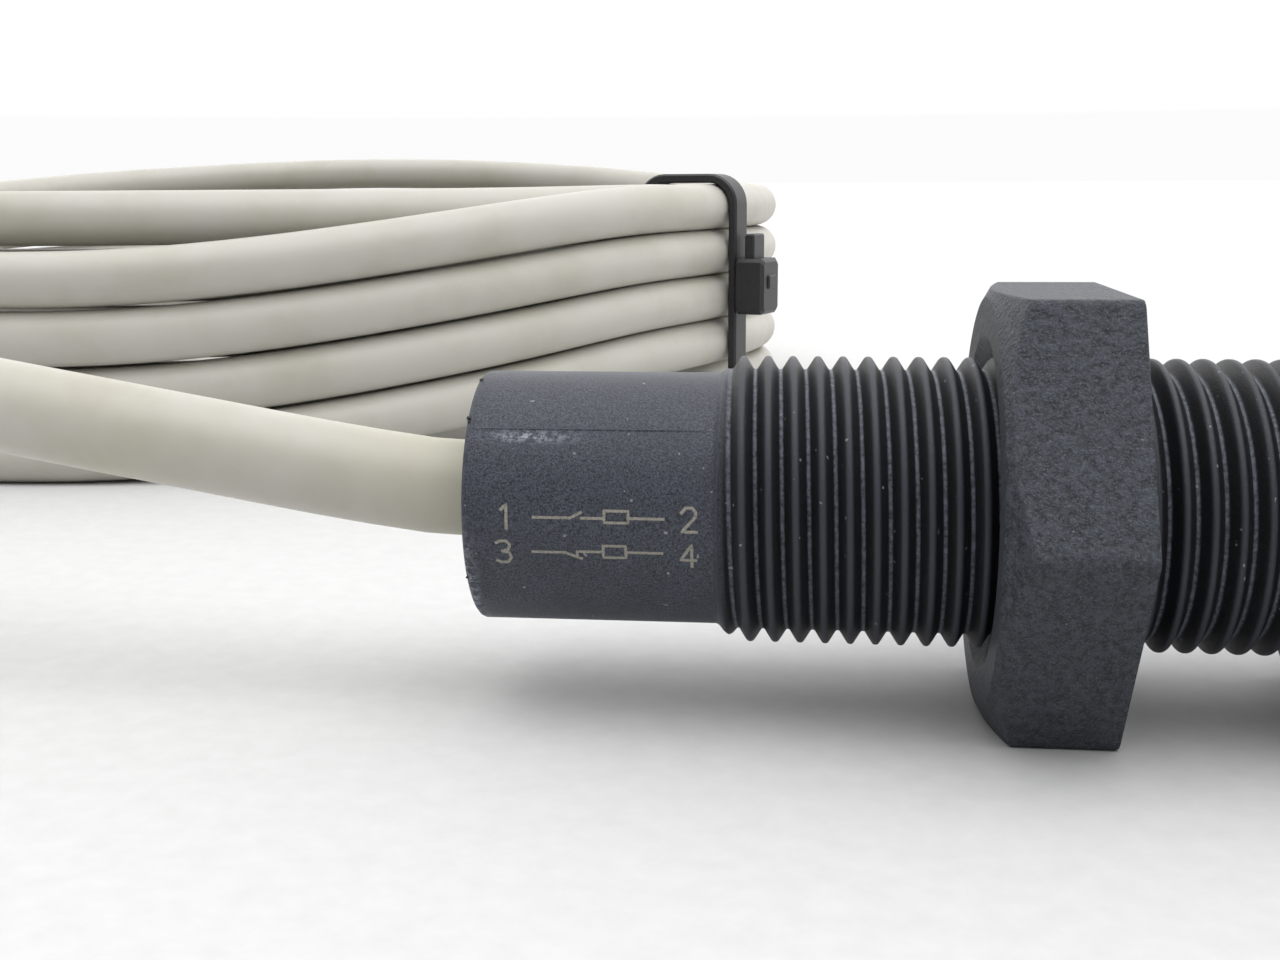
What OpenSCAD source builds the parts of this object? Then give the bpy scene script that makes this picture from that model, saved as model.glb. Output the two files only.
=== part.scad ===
// Cylindrical M12 magnetic safety sensor with two reed contacts, two mounting nuts and a fixed cable.
// +X runs along the sensor towards its sensing face, +Z is up and z = 0 is the surface it lies on.

/* [Housing] */
// Overall length of the threaded housing
body_len = 42; // [36:1:60]
// Outside diameter over the thread crests
thread_d = 11.7; // [11.6:0.05:12]
// Diameter at the thread roots
root_d = 10.6; // [10.4:0.05:10.8]
// Distance from crest to crest
pitch = 1; // [1:1:1]
// Diameter of the plain rear section
plain_d = 10.24; // [10:0.02:10.3]
// Length of the plain rear section
plain_len = 9.9; // [6:0.1:12]
// Diameter of the inner chamber
chamber_d = 8.4; // [8:0.1:8.8]
// Thickness of the closed sensing face
face_wall = 1.2; // [0.8:0.1:2]

/* [Nuts] */
// Width of the hexagon across flats
nut_af = 17; // [17:1:19]
// Thickness of each nut
nut_h = 5; // [4:0.5:6]
// Left face of the nut nearer the cable
rear_nut_x = -0.9; // [-8:0.1:2]
// Left face of the nut nearer the sensing face
front_nut_x = 12.3; // [10:0.1:15]
// Diameter where the corner chamfer meets the left face
nut_face_d = 16.3; // [15:0.1:16.8]
// Diameter of the countersink at each end of the thread
countersink_d = 13.4; // [13.1:0.1:14]

/* [Circuit] */
// Length of the circuit board
board_len = 27; // [24:0.5:28]
// Width of the circuit board
board_w = 7.6; // [6:0.1:7.6]
// Thickness of the circuit board
board_t = 0.8; // [0.6:0.1:1]
// Length of a reed switch's glass tube
reed_len = 10; // [8:0.5:12]
// Diameter of a reed switch's glass tube
reed_d = 1.8; // [1.6:0.1:2]

/* [Cable] */
// Diameter of the cable jacket
cable_d = 4; // [3.6:0.1:4.2]
// Diameter of one insulated core
core_d = 0.9; // [0.7:0.1:1]
// Length of the jacket inside the housing
jacket_in = 6; // [4:0.5:7]
// How far the cable lies above the housing's axis where it leaves
cable_up = 0.2; // [0:0.05:0.5]
// Length of the cores that stand out of the far end
core_out = 24; // [15:1:30]
// Length of each tinned strand end
tinned_len = 6; // [4:1:8]

/* [Coil] */
// Radius of the outer column of turns, at the cable's centre
coil_r = 53.5; // [50:0.5:60]
// Distance between neighbouring turns
turn_gap = 4.2; // [4.1:0.1:4.4]
// Turns on top of each other in the outer column
coil_layers = 5; // [4:1:5]

/* [Hidden] */
$fn = 64;
eps = 0.01;

// Axis height: both nuts rest on a flat.
axis_z = nut_af / 2;
rear_x = -body_len / 2;
front_x = body_len / 2;

// Thread
flank = (thread_d - root_d) / 2 * tan(30);
crest_flat = pitch / 8;
thread_start = rear_x + plain_len + 0.9;
crest_count = floor((front_x - 1 - thread_start) / pitch);
running_gap = 0.04;

// Nuts
nut_corner_d = nut_af / cos(30);
chamfer_h = (nut_corner_d - nut_face_d) / 2 * tan(30);
nut_bore_d = thread_d + 2 * running_gap;
nut_core_d = 12.9;
nut_core_h = nut_h - 1;

// Inside the housing, heights are measured from the sensor's axis.
chamber_end = front_x - face_wall;
cap_x = rear_x + 0.4;
cap_t = 1.2;
pot_end = rear_x + 10;
board_x = chamber_end - 1.5 - board_len;
board_top = -0.8;
lead_d = 0.4;
solder_h = 0.3;
pad_x = board_x + 1.2;
pad_ys = [-2.7, -0.9, 0.9, 2.7];
core_off = 0.62;

// Reed switches
reed_wall = 0.2;
seal_len = 1.2;
blade_t = 0.16;
blade_w = 0.9;
blade_overlap = 0.8;
contact_gap = 0.06;
closed_gap = 0.01;
lead_run = 1.2;
reed_x = chamber_end - 2.6 - lead_run - reed_len;
reed_z = board_top + reed_d / 2 + 0.15;
no_reed_y = 1.3;
nc_reed_y = -1.3;
blade_len = (reed_len - 2 * seal_len + blade_overlap) / 2;

// Resistors
resistor_d = 1.5;
resistor_len = 3.4;
resistor_x = board_x + 6.5;
resistor_z = board_top + resistor_d / 2 + 0.1;

// Cable route from the housing to the coil, at the cable's centre
run_points = [
    [-21, 0, 8.7], [-21.5, 0, 8.7], [-22, 0, 8.7], [-24, 0, 8.9], [-28, 0, 9.5], [-34, 0, 10.55],
    [-40, 0, 11.6], [-48, 0.5, 12.9],
    [-57, 2, 14.1], [-67, 5.5, 15.2], [-77, 11, 16.1], [-87, 19, 16.9], [-97, 29, 17.6],
    [-106, 42, 18.1], [-113, 56, 18.5], [-118, 72, 18.7], [-120.3, 86, 18.8], [-120.5, 95, 18.8]
];
// Route from the coil's last turn to the cable's end
tail_points = [
    [-75.5, 46.4, 18.8], [-80.5, 47.9, 18.8], [-84.5, 50.4, 18.5], [-88.5, 54, 17.6],
    [-92, 58.8, 14.8], [-94.6, 65, 11], [-95.4, 72, 7.4], [-94, 79, 4.6], [-90, 85, 2.9],
    [-84, 89.2, 2.2], [-77, 91.7, 2.1], [-69, 93, 2.1], [-63.5, 93, 2.1], [-58, 93, 2.1]
];
cord_sides = 10;
core_sides = 8;

// Coil
coil_x = -67;
coil_y = 95;
coil_in = coil_r - turn_gap - cable_d / 2;
coil_out = coil_r + cable_d / 2;
coil_h = (coil_layers - 1) * turn_gap + cable_d + 0.2;
tie_at = -20;
tie_span = 3;
tie_t = 0.9;

// Far end of the cable
tail_end = tail_points[len(tail_points) - 1];
fan = [-12, 12, -4, 4];
tinned_d = 0.6;
tie_head = [3, 4, 5];
tie_head_z = 9.5;

// ---------- helpers ----------

module along_x(x) {
    translate([x, 0, axis_z]) rotate([0, 90, 0]) children();
}

module at_axis() {
    translate([0, 0, axis_z]) children();
}

module rod(p, q, d) {
    v = q - p;
    len = norm(v);
    translate(p)
        rotate([0, acos(v[2] / len), atan2(v[1], v[0])])
            cylinder(h = len, d = d, $fn = 32);
}

// A bent wire: straight rods with a ball at each bend
module wire(points, d) {
    for (i = [0 : len(points) - 2]) rod(points[i], points[i + 1], d);
    for (i = [1 : len(points) - 2]) translate(points[i]) sphere(d = d, $fn = 32);
}

function smooth(a, b, c, d, t) =
    0.5 * (2 * b + (c - a) * t + (2 * a - 5 * b + 4 * c - d) * t * t
        + (3 * b - a - 3 * c + d) * t * t * t);

// Points along a rounded curve through the route's points, two for each stretch
function route(p) = [
    for (i = [0 : len(p) - 2], t = [0, 0.5])
        smooth(p[max(i - 1, 0)], p[i], p[i + 1], p[min(i + 2, len(p) - 1)], t),
    p[len(p) - 1]
];

function unit(v) = v / norm(v);

function heading(p, i) = unit(p[min(i + 1, len(p) - 1)] - p[max(i - 1, 0)]);

// Points of one ring round the route. The route never runs along the vector across.
function ring(c, t, r, m, across) =
    let (side = unit(cross(t, across)), up = cross(side, t))
    [for (k = [0 : m - 1])
        let (a = k * 360 / m) c + r * (side * cos(a) + up * sin(a))];

module cord(points, d, m = cord_sides, across = [0, 0, 1]) {
    p = route(points);
    n = len(p);
    rings = [for (i = [0 : n - 1]) each ring(p[i], heading(p, i), d / 2, m, across)];
    walls = [for (i = [0 : n - 2], k = [0 : m - 1]) let (l = (k + 1) % m)
        [i * m + k, i * m + l, (i + 1) * m + l, (i + 1) * m + k]];
    first = [for (k = [m - 1 : -1 : 0]) k];
    last = [for (k = [0 : m - 1]) (n - 1) * m + k];
    polyhedron(points = rings, faces = concat([first], walls, [last]));
}

// ---------- housing ----------

// Outline of the housing's outside, as [radius, distance from the rear end]
function ridge(z) = [
    [root_d / 2, z - crest_flat / 2 - flank], [thread_d / 2, z - crest_flat / 2],
    [thread_d / 2, z + crest_flat / 2], [root_d / 2, z + crest_flat / 2 + flank]
];

module housing() {
    first = thread_start - rear_x;
    color("#2c2f38")
        along_x(rear_x)
            difference() {
                rotate_extrude($fn = 96)
                    polygon(concat(
                        [[0, 0], [plain_d / 2 - 0.15, 0], [plain_d / 2, 0.15], [plain_d / 2, plain_len],
                            [root_d / 2, plain_len + 0.2]],
                        [for (i = [0 : crest_count]) each ridge(first + i * pitch)],
                        [[root_d / 2, body_len - 0.25], [root_d / 2 - 0.25, body_len], [0, body_len]]));
                translate([0, 0, -eps])
                    cylinder(h = body_len - face_wall + eps, d = chamber_d);
            }
}

module end_cap() {
    color("#24262c")
        along_x(cap_x)
            difference() {
                cylinder(h = cap_t, d = chamber_d);
                translate([-cable_up, 0, -eps]) cylinder(h = cap_t + 2 * eps, d = cable_d);
            }
}

// Where the four cores run, seen from the rear: [y, z] from the axis
core_places = [[-core_off, core_off], [core_off, core_off], [-core_off, -core_off], [core_off, -core_off]];

module core_holes(h) {
    for (c = core_places) translate([-c[1] - cable_up, c[0], -eps]) cylinder(h = h + 2 * eps, d = core_d, $fn = 32);
}

module potting() {
    start = cap_x + cap_t;
    jacket_end = rear_x + jacket_in;
    color("#1b1c1f")
        along_x(start)
            difference() {
                cylinder(h = pot_end - start, d = chamber_d);
                translate([-cable_up, 0, -eps]) cylinder(h = jacket_end - start + eps, d = cable_d);
                core_holes(pot_end - start);
            }
}

module cable_jacket_end() {
    color("#c9c4b4")
        along_x(rear_x)
            difference() {
                translate([-cable_up, 0, 0]) cylinder(h = jacket_in, d = cable_d);
                core_holes(jacket_in);
            }
}

// ---------- circuit ----------

module circuit_board() {
    color("#1f6b3a")
        at_axis()
            translate([board_x, -board_w / 2, board_top - board_t])
                cube([board_len, board_w, board_t]);
}

module solder(x, y) {
    translate([x, y, board_top])
        difference() {
            cylinder(h = solder_h, d1 = 1.1, d2 = 0.7, $fn = 32);
            translate([0, 0, -eps]) cylinder(h = solder_h + 2 * eps, d = lead_d, $fn = 32);
        }
}

module solder_joints() {
    color("#c8cacc")
        at_axis() {
            for (y = pad_ys)
                translate([pad_x, y, board_top]) cylinder(h = solder_h, d1 = 1.2, d2 = core_d, $fn = 32);
            for (y = [no_reed_y, nc_reed_y], x = [reed_x - lead_run, reed_x + reed_len + lead_run])
                solder(x, y);
            for (y = [no_reed_y, nc_reed_y], x = [-1, 1])
                solder(resistor_x + x * (resistor_len / 2 + 0.8), y);
        }
}

module reed_glass(y) {
    color("#bfe0d2", 0.5)
        at_axis()
            translate([reed_x, y, reed_z])
                rotate([0, 90, 0])
                    difference() {
                        cylinder(h = reed_len, d = reed_d, $fn = 48);
                        translate([0, 0, seal_len])
                            cylinder(h = reed_len - 2 * seal_len, d = reed_d - 2 * reed_wall, $fn = 48);
                        translate([0, 0, -eps]) cylinder(h = reed_len + 2 * eps, d = lead_d, $fn = 32);
                    }
}

// A lead through the glass seal, bent down to the board. side is -1 at the rear end and 1 at the front.
module lead(y, side) {
    inner = side < 0 ? reed_x + seal_len : reed_x + reed_len - seal_len;
    bend = side < 0 ? reed_x - lead_run : reed_x + reed_len + lead_run;
    wire([[inner, y, reed_z], [bend, y, reed_z], [bend, y, board_top]], lead_d);
}

module reed_lead(y) {
    color("#b9bcc2") at_axis() lead(y, -1);
}

// The fixed blade lies below the axis of the glass, and its lead leaves at the front.
module reed_fixed_blade(y) {
    blade_end = reed_x + reed_len - seal_len;
    color("#b9bcc2")
        at_axis() {
            lead(y, 1);
            translate([blade_end - blade_len, y - blade_w / 2, reed_z - blade_t])
                cube([blade_len, blade_w, blade_t]);
        }
}

// The moving blade lies above it, a contact gap away, and turns at the rear seal.
module reed_moving_blade(y, gap) {
    color("#d8c27a")
        at_axis()
            translate([reed_x + seal_len + 0.02, y - blade_w / 2, reed_z + gap])
                cube([blade_len, blade_w, blade_t]);
}

module bias_magnet() {
    color("#55585c")
        at_axis()
            translate([reed_x + 3, nc_reed_y, reed_z + reed_d / 2 + 0.75])
                rotate([0, 90, 0])
                    cylinder(h = 4, d = 1.5, $fn = 48);
}

module resistor(y) {
    span = resistor_len / 2 + 0.8;
    color("#c9a77a")
        at_axis() {
            translate([resistor_x - resistor_len / 2, y, resistor_z])
                rotate([0, 90, 0])
                    cylinder(h = resistor_len, d = resistor_d, $fn = 48);
            for (s = [-1, 1])
                wire([[resistor_x + s * resistor_len / 2, y, resistor_z],
                    [resistor_x + s * span, y, resistor_z], [resistor_x + s * span, y, board_top]], lead_d);
        }
}

// One insulated core, straight through the jacket and the potting and then to its pad on the board
module core(i, shade) {
    c = core_places[i];
    pad = [pad_x, pad_ys[core_order[i]], board_top + solder_h];
    color(shade)
        at_axis()
            cord(concat([for (x = [rear_x, pot_end - 2, pot_end, pot_end + 0.8]) [x, c[0], c[1] + cable_up]],
                [pad + [0, 0, 1], pad + [0, 0, 0.5], pad]), core_d, core_sides, [0, 1, 0]);
}
// Which pad each core goes to, so that no two cross
core_order = [1, 2, 0, 3];

// ---------- nuts ----------

// The hexagon of a nut, chamfered at its left end. It turns on the threaded core.
module nut(x) {
    chamfer_top = nut_corner_d / 2 + (nut_h - chamfer_h) / tan(30);
    color("#3a3d45")
        along_x(x)
            difference() {
                intersection() {
                    rotate([0, 0, 30]) cylinder(h = nut_h, d = nut_corner_d, $fn = 6);
                    cylinder(h = nut_h, r1 = nut_face_d / 2, r2 = chamfer_top, $fn = 96);
                }
                translate([0, 0, -eps]) cylinder(h = nut_h + 2 * eps, d = nut_core_d + 2 * running_gap);
                for (end = [0, 1])
                    translate([0, 0, end * nut_h])
                        mirror([0, 0, end])
                            translate([0, 0, -eps])
                                cylinder(h = 0.4, d1 = countersink_d, d2 = nut_core_d);
            }
}

// The female thread of a nut. It moves along the housing with the nut and has the same form at every angle.
module nut_thread(x) {
    color("#3a3d45")
        along_x(x + (nut_h - nut_core_h) / 2)
            difference() {
                cylinder(h = nut_core_h, d = nut_core_d);
                translate([0, 0, -eps]) cylinder(h = nut_core_h + 2 * eps, d = nut_bore_d);
            }
}

// ---------- cable ----------

module cable_run() {
    color("#d3cebf") cord(run_points, cable_d);
}

module cable_tail() {
    color("#d3cebf") cord(tail_points, cable_d);
}

module at_coil() {
    translate([coil_x, coil_y, 0]) children();
}

// Section of the coil's turns, standing on the tie that goes under them
module bundle(grow) {
    translate([coil_in - grow, tie_t - grow])
        square([coil_out - coil_in + 2 * grow, coil_h - tie_t + 2 * grow]);
}

module cable_coil() {
    color("#d3cebf") at_coil() rotate_extrude($fn = 128) bundle(0);
}

module coil_tie() {
    color("#202226")
        at_coil() {
            rotate([0, 0, tie_at - tie_span / 2])
                rotate_extrude(angle = tie_span)
                    difference() {
                        bundle(tie_t);
                        bundle(0);
                    }
            rotate([0, 0, tie_at])
                translate([coil_out + tie_t, -tie_head[1] / 2, tie_head_z])
                    cube(tie_head);
        }
}

// At the cable's far end the cores fan out on the surface, and each has a tinned end.
function core_root(i) = tail_end + [0, core_places[i][0], core_places[i][1]];

function fan_way(i) = [cos(fan[i]), sin(fan[i]), 0];

function core_tip(i) =
    [tail_end[0], tail_end[1] + core_places[i][0], core_d / 2] + core_out * fan_way(i);

module end_core(i, shade) {
    root = core_root(i);
    tip = core_tip(i);
    color(shade)
        cord([root, root + [1, 0, 0], root + [2, 0, 0], tip - 8 * fan_way(i), tip], core_d, core_sides);
}

module tinned_ends() {
    color("#c8cacc")
        for (i = [0 : 3])
            rod(core_tip(i), core_tip(i) + tinned_len * fan_way(i), tinned_d);
}

housing();
end_cap();
potting();
cable_jacket_end();
circuit_board();
solder_joints();
reed_glass(no_reed_y);  // no_reed_glass
reed_lead(no_reed_y);  // no_reed_lead
reed_fixed_blade(no_reed_y);  // no_reed_fixed_blade
reed_moving_blade(no_reed_y, contact_gap);  // no_reed_moving_blade
reed_glass(nc_reed_y);  // nc_reed_glass
reed_lead(nc_reed_y);  // nc_reed_lead
reed_fixed_blade(nc_reed_y);  // nc_reed_fixed_blade
reed_moving_blade(nc_reed_y, closed_gap);  // nc_reed_moving_blade
bias_magnet();
resistor(no_reed_y);  // no_resistor
resistor(nc_reed_y);  // nc_resistor
core(0, "white");  // wire_white
core(1, "#6b3f22");  // wire_brown
core(2, "#2f8f4e");  // wire_green
core(3, "#e6c92f");  // wire_yellow
nut(rear_nut_x);  // rear_nut
nut_thread(rear_nut_x);  // rear_nut_thread
nut(front_nut_x);  // front_nut
nut_thread(front_nut_x);  // front_nut_thread
cable_run();
cable_coil();
coil_tie();
cable_tail();
end_core(0, "white");  // end_core_white
end_core(1, "#6b3f22");  // end_core_brown
end_core(2, "#2f8f4e");  // end_core_green
end_core(3, "#e6c92f");  // end_core_yellow
tinned_ends();
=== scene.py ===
import math
import random

import bmesh
import bpy
from mathutils import Matrix, Vector


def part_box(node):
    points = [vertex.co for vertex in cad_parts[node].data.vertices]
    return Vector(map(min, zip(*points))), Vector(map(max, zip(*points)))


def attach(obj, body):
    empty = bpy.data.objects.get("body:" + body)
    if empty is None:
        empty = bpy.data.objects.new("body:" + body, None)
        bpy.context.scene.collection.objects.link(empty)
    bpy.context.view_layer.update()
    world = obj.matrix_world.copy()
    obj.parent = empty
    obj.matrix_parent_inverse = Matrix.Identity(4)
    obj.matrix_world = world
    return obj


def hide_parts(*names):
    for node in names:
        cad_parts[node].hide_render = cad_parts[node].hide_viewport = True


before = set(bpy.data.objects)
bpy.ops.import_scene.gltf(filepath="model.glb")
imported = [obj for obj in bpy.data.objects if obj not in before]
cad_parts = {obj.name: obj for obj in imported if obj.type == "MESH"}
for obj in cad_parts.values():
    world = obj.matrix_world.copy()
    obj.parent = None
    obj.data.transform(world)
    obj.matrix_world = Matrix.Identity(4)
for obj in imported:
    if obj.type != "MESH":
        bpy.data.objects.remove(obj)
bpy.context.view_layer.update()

MM = 0.001
TAU = 2 * math.pi

# ---------------------------------------------------------------- sizes, in millimetres


def box_mm(node):
    """The two corners of a CAD node's box, in millimetres."""
    low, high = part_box(node)
    return low / MM, high / MM


housing_low, housing_high = box_mm("housing")
REAR_X, FRONT_X = housing_low.x, housing_high.x
AXIS_Z = (housing_low.z + housing_high.z) / 2
CREST_R = (housing_high.z - housing_low.z) / 2 - 0.04
ROOT_R = CREST_R - 0.53
PLAIN_R = 5.12
PLAIN_END = REAR_X + 9.6
CHAMBER_R = 4.2
FACE_WALL = 1.2
PITCH = 1.0
# Where a thread crest crosses the top of the barrel
CREST_X = -9.43
PARTING_ANGLE = 48.5
NUT_CLEARANCE = 0.07
NUT_FACE_R = 8.15
COUNTERSINK_R = 6.7
HEX_CORNER_R = 0.5
CABLE_D = 4.0
CORE_D = 0.9
CORE_OUT, TINNED_LEN = 24, 6
# How far above the axis the cable leaves the housing
EXIT_LIFT = 0.2
# The circuit board and what stands on it
BOARD_LEN, BOARD_GAP = 27, 1.5
BOARD_X = FRONT_X - FACE_WALL - BOARD_GAP - BOARD_LEN
BOARD_TOP = AXIS_Z - 0.8
PAD_X = BOARD_X + 1.2
PAD_Y = {"white": -0.9, "brown": 0.9, "green": -2.7, "yellow": 2.7}
RESISTOR_X = BOARD_X + 6.5
RESISTOR_END = 1.71
REED_Y = 1.3

# Cable route from the housing to the coil, the same points as in part.scad
RUN_POINTS = [
    (-21, 0, 8.7), (-21.5, 0, 8.7), (-22, 0, 8.7), (-24, 0, 8.9), (-28, 0, 9.5), (-34, 0, 10.55),
    (-40, 0, 11.6), (-48, 0.5, 12.9), (-57, 2, 14.1), (-67, 5.5, 15.2), (-77, 11, 16.1),
    (-87, 19, 16.9), (-97, 29, 17.6), (-106, 42, 18.1), (-113, 56, 18.5), (-118, 72, 18.7),
    (-120.3, 86, 18.8), (-120.5, 95, 18.8),
]
TAIL_POINTS = [
    (-75.5, 46.4, 18.8), (-80.5, 47.9, 18.8), (-84.5, 50.4, 18.5), (-88.5, 54, 17.6), (-92, 58.8, 14.8),
    (-94.6, 65, 11), (-95.4, 72, 7.4), (-94, 79, 4.6), (-90, 85, 2.9), (-84, 89.2, 2.2),
    (-77, 91.7, 2.1), (-69, 93, 2.1), (-63.5, 93, 2.1), (-58, 93, 2.1),
]
COIL_X, COIL_Y, COIL_R = -67, 95, 53.5
TURN_GAP = 4.2
COIL_TOP, COIL_LEVELS = 18.8, 5
TIE_ANGLE = -20
TIE_T, TIE_W = 0.8, 2.6
# The strap's inside: its gap beyond the outer turns' centres, its top and its corner radius
TIE_REACH = CABLE_D / 2 + 0.02
TIE_TOP = 21.05
TIE_CORNER = 1.9


# ---------------------------------------------------------------- mesh helpers


def on_barrel(x, angle, radius):
    """A point round the sensor's axis. The angle starts at the top and turns towards the front (-Y)."""
    return (x, -radius * math.sin(angle), AXIS_Z + radius * math.cos(angle))


def grid_faces(rows, columns, closed=True):
    """Quads between rings of points that follow each other."""
    faces = []
    for i in range(rows - 1):
        for j in range(columns if closed else columns - 1):
            k = (j + 1) % columns
            a, b = i * columns, (i + 1) * columns
            faces.append((a + j, a + k, b + k, b + j))
    return faces


class Shape:
    """Points in millimetres and faces, gathered for one mesh."""

    def __init__(self):
        self.points = []
        self.faces = []

    def add(self, points, faces):
        start = len(self.points)
        self.points += [tuple(p) for p in points]
        self.faces += [tuple(start + i for i in f) for f in faces]

    def rings(self, rings, closed=True):
        columns = len(rings[0])
        self.add([p for ring in rings for p in ring], grid_faces(len(rings), columns, closed))

    def cap(self, ring, flip=False):
        order = list(range(len(ring)))
        self.add(ring, [tuple(reversed(order)) if flip else tuple(order)])

    def build(self, name, sharp=32.0):
        """Makes the object: merges shared points, turns faces outwards and marks sharp edges."""
        mesh = bpy.data.meshes.new(name)
        mesh.from_pydata([[c * MM for c in p] for p in self.points], [], self.faces)
        bm = bmesh.new()
        bm.from_mesh(mesh)
        bmesh.ops.remove_doubles(bm, verts=bm.verts, dist=2e-7)
        bmesh.ops.dissolve_degenerate(bm, edges=bm.edges, dist=1e-7)
        bmesh.ops.recalc_face_normals(bm, faces=bm.faces)
        for face in bm.faces:
            face.smooth = True
        for edge in bm.edges:
            if len(edge.link_faces) == 2:
                edge.smooth = edge.calc_face_angle(0) < math.radians(sharp)
        bm.to_mesh(mesh)
        bm.free()
        piece = bpy.data.objects.new(name, mesh)
        bpy.context.scene.collection.objects.link(piece)
        return piece


def place(piece, body, material, replaces=()):
    """Gives a piece its material and body, and hides the CAD nodes that it stands for."""
    piece.data.materials.clear()
    piece.data.materials.append(material)
    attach(piece, body)
    if replaces:
        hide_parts(*replaces)
    return piece


def smoothstep(low, high, value):
    """Rises smoothly from 0 at low to 1 at high."""
    t = min(1.0, max(0.0, (value - low) / (high - low)))
    return t * t * (3 - 2 * t)


# One pitch of the thread as (distance along the axis from the crest, share of the thread's height)
THREAD_FORM = [
    (-0.13, 0.90), (-0.085, 0.97), (-0.04, 1.0), (0.04, 1.0), (0.085, 0.97), (0.13, 0.90), (0.25, 0.56),
    (0.36, 0.22), (0.42, 0.05), (0.455, 0.0), (0.545, 0.0), (0.58, 0.05), (0.64, 0.22), (0.75, 0.56),
]


def threaded_skin(shape, angles, low_x, high_x, radius_at):
    """A skin with a right-hand thread between two rings. radius_at(x, height) gives the radius."""
    n, m = len(THREAD_FORM), len(angles)
    first = math.floor((low_x - CREST_X) / PITCH) - 2
    last = math.ceil((high_x - CREST_X) / PITCH) + 1
    rows = (last - first) * n
    points = []
    for i in range(rows):
        along, height = THREAD_FORM[i % n]
        base = CREST_X + (first + i // n) * PITCH + along * PITCH
        for a in angles:
            x = min(high_x, max(low_x, base + PITCH * a / TAU))
            points.append(on_barrel(x, a, radius_at(x, height)))
    faces = []
    for i in range(rows - 1):
        for j in range(m - 1):
            faces.append((i * m + j, i * m + j + 1, (i + 1) * m + j + 1, (i + 1) * m + j))
        if i + 1 + n < rows:
            faces.append((i * m + m - 1, (i + n) * m, (i + 1 + n) * m, (i + 1) * m + m - 1))
    kept = []
    for f in faces:
        xs = {round(points[k][0], 6) for k in f}
        if len(xs) > 1 or xs.isdisjoint({round(low_x, 6), round(high_x, 6)}):
            kept.append(f)
    shape.add(points, kept)


# ---------------------------------------------------------------- materials


def material(name, colour, roughness):
    """A principled material, with its node tree and a coordinate in millimetres on the object itself."""
    m = bpy.data.materials.new(name)
    m.use_nodes = True
    tree = m.node_tree
    shader = tree.nodes["Principled BSDF"]
    shader.inputs["Base Color"].default_value = (*colour, 1)
    shader.inputs["Roughness"].default_value = roughness
    where = tree.nodes.new("ShaderNodeTexCoord")
    scale = tree.nodes.new("ShaderNodeVectorMath")
    scale.operation = "SCALE"
    scale.inputs["Scale"].default_value = 1 / MM
    tree.links.new(where.outputs["Object"], scale.inputs[0])
    return m, tree, shader, scale.outputs[0]


def noise(tree, where, scale, detail=3.0, rough=0.55, stretch=None):
    """Noise at so many cells a millimetre, stretched along an axis where its factor is small."""
    node = tree.nodes.new("ShaderNodeTexNoise")
    node.inputs["Scale"].default_value = scale
    node.inputs["Detail"].default_value = detail
    node.inputs["Roughness"].default_value = rough
    if stretch:
        mapping = tree.nodes.new("ShaderNodeMapping")
        mapping.inputs["Scale"].default_value = stretch
        tree.links.new(where, mapping.inputs["Vector"])
        where = mapping.outputs[0]
    tree.links.new(where, node.inputs["Vector"])
    return node.outputs["Fac"]


def ramp(tree, value, stops):
    """A colour ramp from stops of (position, colour)."""
    node = tree.nodes.new("ShaderNodeValToRGB")
    band = node.color_ramp
    while len(band.elements) < len(stops):
        band.elements.new(0.5)
    for element, (position, colour) in zip(band.elements, stops):
        element.position = position
        element.color = (*colour, 1)
    tree.links.new(value, node.inputs["Fac"])
    return node.outputs["Color"]


def grey(value):
    return (value, value, value)


def mix(tree, share, first, second):
    """The first colour where the share is 0, and the second where it is 1."""
    node = tree.nodes.new("ShaderNodeMix")
    node.data_type = "RGBA"
    tree.links.new(share, node.inputs["Factor"])
    for value, socket in ((first, "A"), (second, "B")):
        target = [s for s in node.inputs if s.name == socket and s.type == "RGBA"][0]
        if isinstance(value, tuple):
            target.default_value = (*value, 1)
        else:
            tree.links.new(value, target)
    return [s for s in node.outputs if s.type == "RGBA"][0]


def math_node(tree, operation, first, second=0.5):
    """A Math node. Operations on one value ignore the second."""
    node = tree.nodes.new("ShaderNodeMath")
    node.operation = operation
    for value, socket in ((first, node.inputs[0]), (second, node.inputs[1])):
        if isinstance(value, (int, float)):
            socket.default_value = value
        else:
            tree.links.new(value, socket)
    return node.outputs[0]


def bump(tree, shader, height, depth_mm, strength=1.0, after=None):
    """Bump on the shader, on top of an earlier one where that is given."""
    node = tree.nodes.new("ShaderNodeBump")
    node.inputs["Strength"].default_value = strength
    node.inputs["Distance"].default_value = depth_mm * MM
    tree.links.new(height, node.inputs["Height"])
    if after:
        tree.links.new(after, node.inputs["Normal"])
    tree.links.new(node.outputs[0], shader.inputs["Normal"])
    return node.outputs[0]


def axis_parts(tree, where):
    node = tree.nodes.new("ShaderNodeSeparateXYZ")
    tree.links.new(where, node.inputs[0])
    return node.outputs


def times(tree, first, second):
    return math_node(tree, "MULTIPLY", first, second)


def near(tree, value, centre, width):
    """1 at the centre, falling to 0 at the given distance from it."""
    away = math_node(tree, "ABSOLUTE", math_node(tree, "SUBTRACT", value, centre))
    share = math_node(tree, "MINIMUM", math_node(tree, "DIVIDE", away, width), 1.0)
    return math_node(tree, "SUBTRACT", 1.0, share)


def set_roughness(tree, shader, value, stops):
    """Roughness that follows a pattern, from stops of (position, roughness)."""
    tree.links.new(ramp(tree, value, [(at, grey(rough)) for at, rough in stops]), shader.inputs["Roughness"])


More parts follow.
